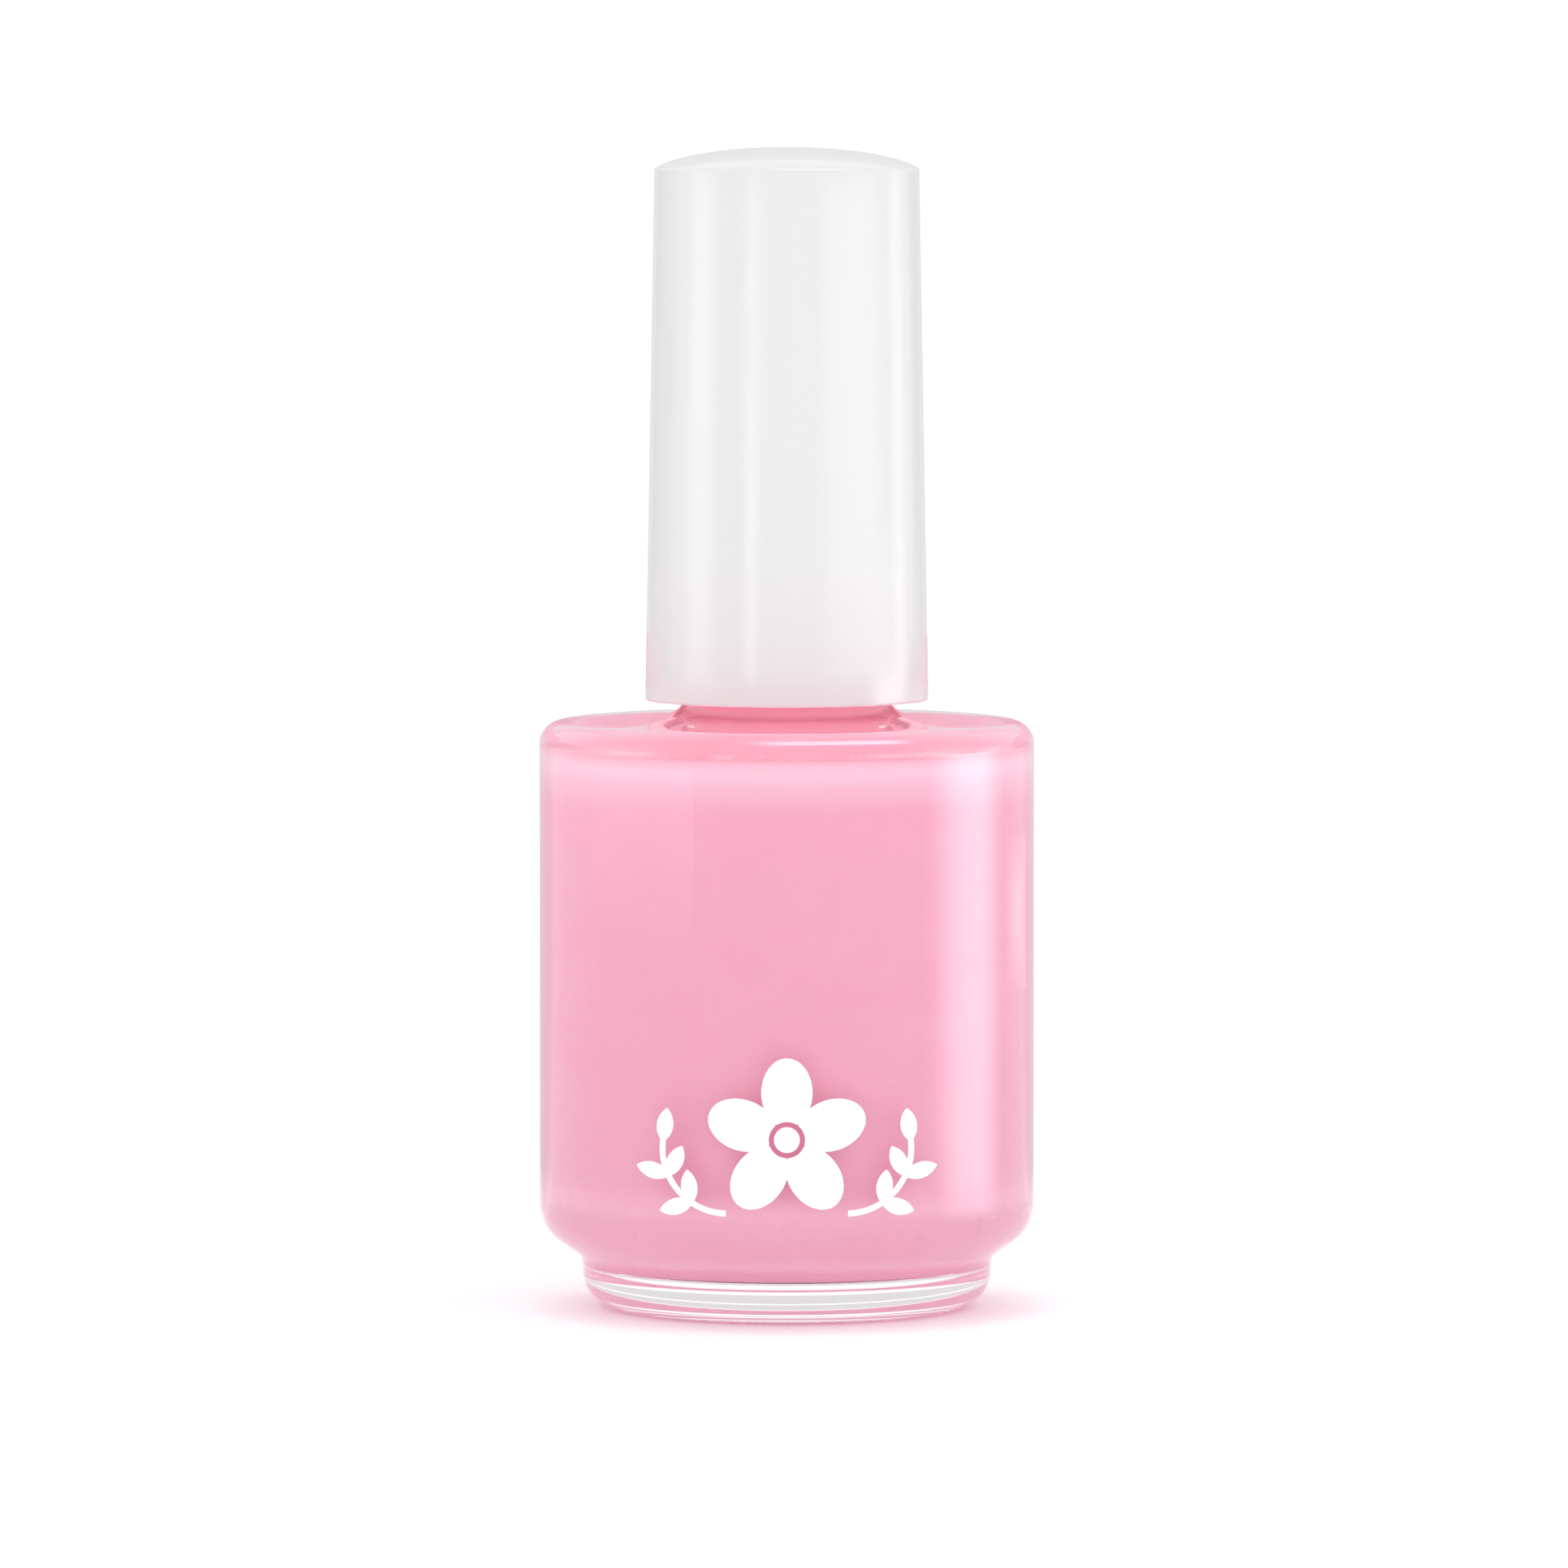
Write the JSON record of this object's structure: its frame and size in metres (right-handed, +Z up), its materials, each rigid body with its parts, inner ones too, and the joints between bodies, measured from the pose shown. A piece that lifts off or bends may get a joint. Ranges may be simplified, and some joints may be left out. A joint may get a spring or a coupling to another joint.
{
  "type": "nail polish bottle",
  "caption": "Round glass nail polish bottle with a thick clear foot, filled with creamy pink polish, and a tall white screw cap that carries the brush.",
  "frame": {"origin": "centre of the base, on the surface the bottle stands on", "axes": "+Z up along the bottle and cap axis; -Y points out of the printed front; +X is to the right seen from the front"},
  "size_m": [0.0305, 0.0305, 0.0715],
  "materials": {
    "clear_glass": "clear flint glass, fire polished",
    "polish": "creamy opaque pink nail lacquer, wet",
    "print_ink": "white screen-printed ceramic ink, satin",
    "steel_balls": "polished stainless steel",
    "liner_foam": "white foamed polyethylene",
    "cap_plastic": "glossy white moulded plastic",
    "inner_cap_plastic": "natural white moulded polypropylene",
    "stem_plastic": "white moulded polyethylene",
    "staple_wire": "bright flat wire",
    "bristles": "fine black nylon filaments"
  },
  "bodies": {
    "bottle": {"glass_bottle": "clear_glass", "nail_polish": "polish", "front_print": "print_ink"},
    "liner": {"seal_liner": "liner_foam"},
    "cap": {"overcap": "cap_plastic", "inner_cap": "inner_cap_plastic", "brush_stem": "stem_plastic", "tuft_staple": "staple_wire", "bristle_tuft": "bristles"},
    "balls": {"mixing_balls": "steel_balls"}
  },
  "joints": [
    {"name": "cap_rise", "type": "slide", "parent": "bottle", "child": "liner", "axis": [0, 0, 1], "range_m": [0, 0.0467]},
    {"name": "cap_turn", "type": "hinge", "parent": "liner", "child": "cap", "pos_m": [0, 0, 0], "axis": [0, 0, 1], "range_deg": [0, 7920]},
    {"name": "ball_swirl", "type": "hinge", "parent": "bottle", "child": "balls", "pos_m": [0, 0, 0], "axis": [0, 0, 1], "continuous": true}
  ],
  "couplings": [
    {"joint": "cap_rise", "follows": "cap_turn", "m_per_rad": 0.00033741}
  ]
}
